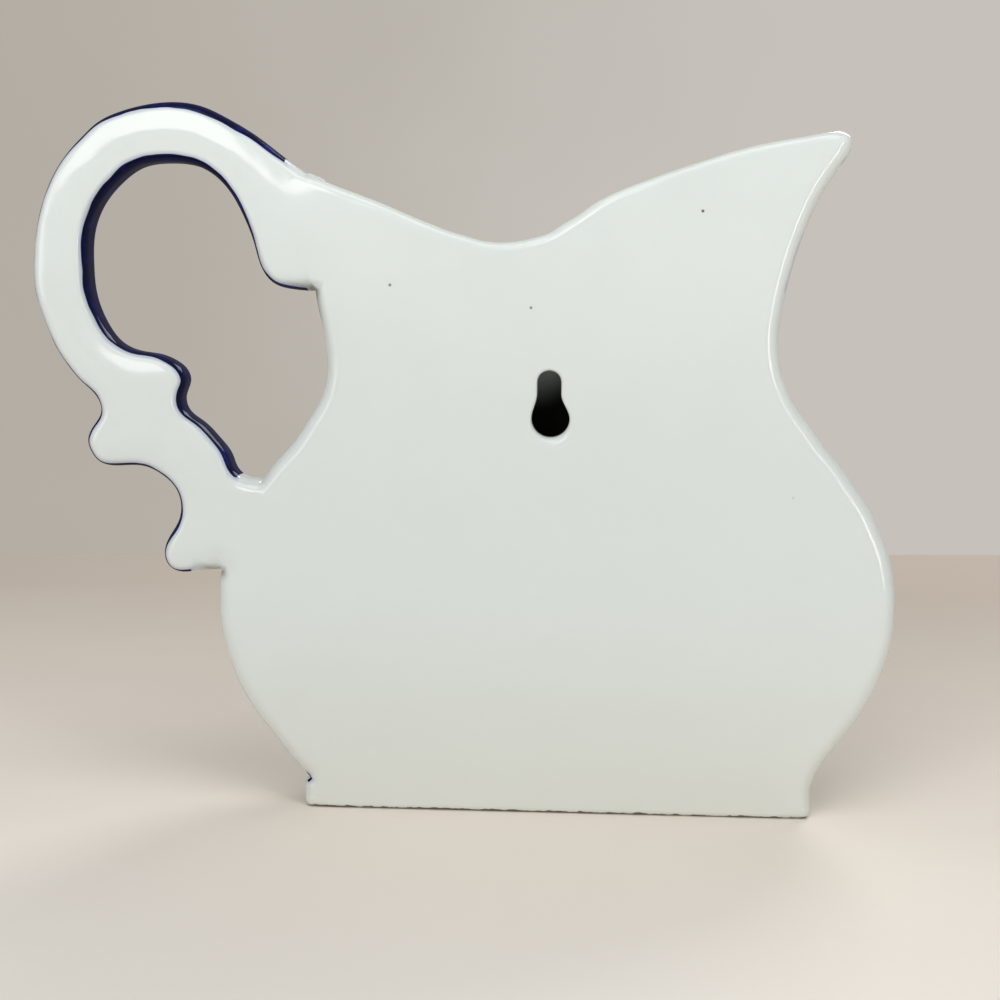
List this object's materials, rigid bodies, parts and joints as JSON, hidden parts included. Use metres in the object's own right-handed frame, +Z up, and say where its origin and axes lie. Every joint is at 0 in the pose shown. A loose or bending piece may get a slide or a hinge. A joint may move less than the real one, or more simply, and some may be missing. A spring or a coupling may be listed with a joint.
{
  "type": "hanging wall vase",
  "caption": "Half-jug wall pocket vase with a flat back, keyhole hanger, scrolled side handle, sloping open rim with a spout and a short foot.",
  "frame": {"origin": "hanging point: centre of the keyhole's round upper end, on the back plane", "axes": "+Y out of the back face towards the wall, +Z up, +X towards the handle"},
  "size_m": [0.1815, 0.0421, 0.1481],
  "materials": {
    "white_glaze": "gloss",
    "cobalt_glaze": "gloss"
  },
  "bodies": {
    "root": {"back_wall": "white_glaze", "front_shell": "white_glaze", "foot": "white_glaze", "handle": "cobalt_glaze"}
  },
  "joints": []
}
